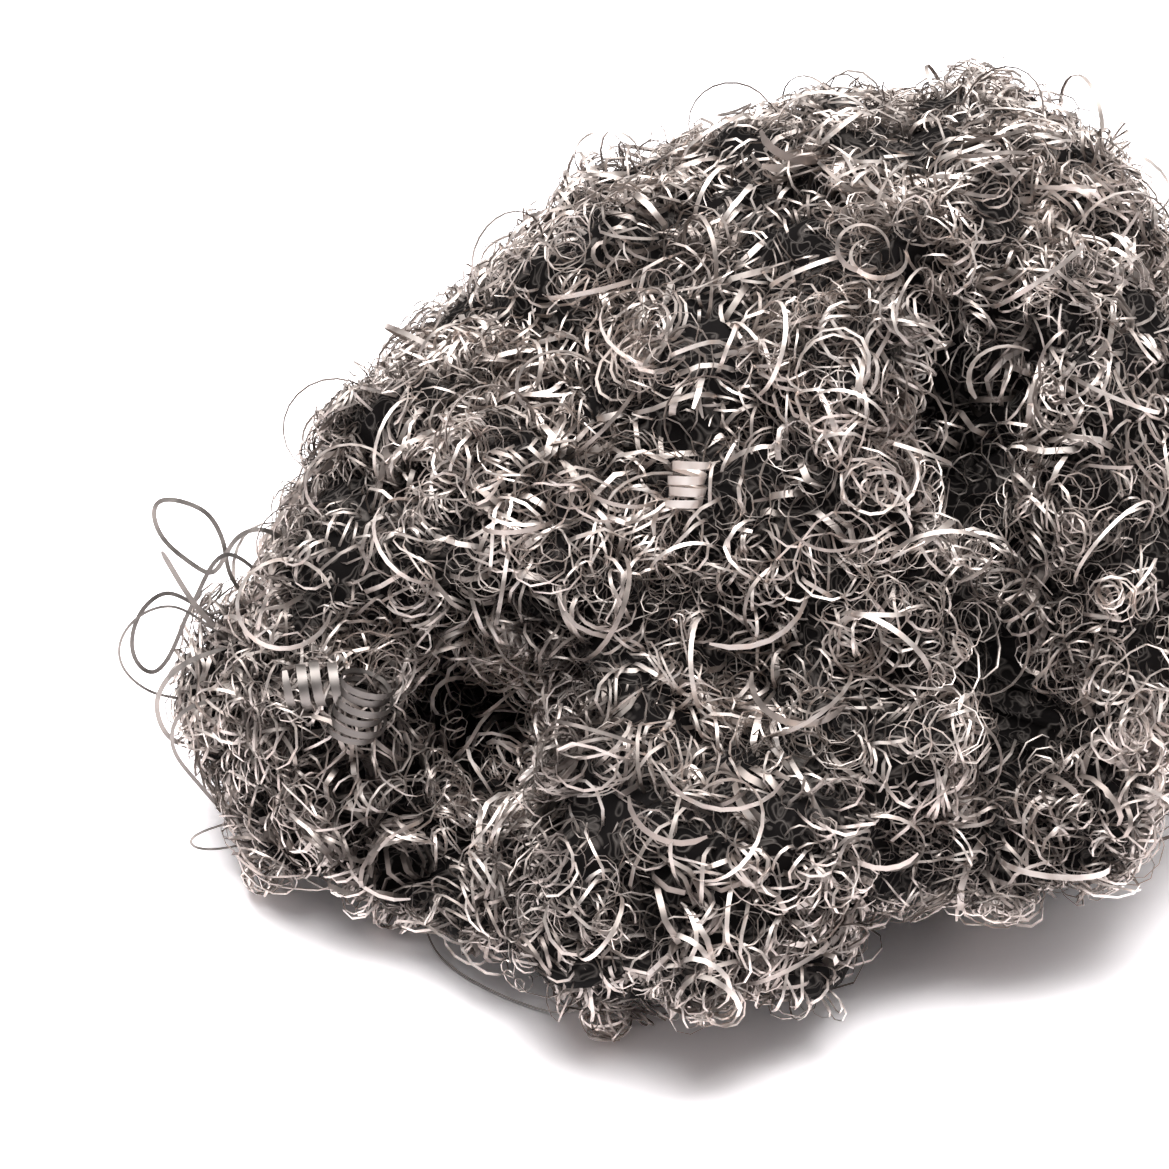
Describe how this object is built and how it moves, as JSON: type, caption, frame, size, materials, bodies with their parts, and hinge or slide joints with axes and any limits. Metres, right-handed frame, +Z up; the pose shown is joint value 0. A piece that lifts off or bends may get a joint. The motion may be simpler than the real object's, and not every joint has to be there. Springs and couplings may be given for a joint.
{
  "type": "steel wool roll",
  "caption": "Loose lumpy roll of coarse curly steel wool lying on its side, with a hollow in its near end, a crease between turns and stray ribbon loops.",
  "frame": {"origin": "on the surface the roll rests on, under the middle of its outline", "axes": "+X along the roll from its hollow end to its thick end, +Y from the side with the hollow to the far side, +Z up"},
  "size_m": [0.1254, 0.123, 0.075],
  "materials": {
    "curly_steel": "bare steel ribbon, warm grey, bright on its edges and dark between the curls"
  },
  "bodies": {
    "root": {"wool_roll": "curly_steel"}
  },
  "joints": []
}
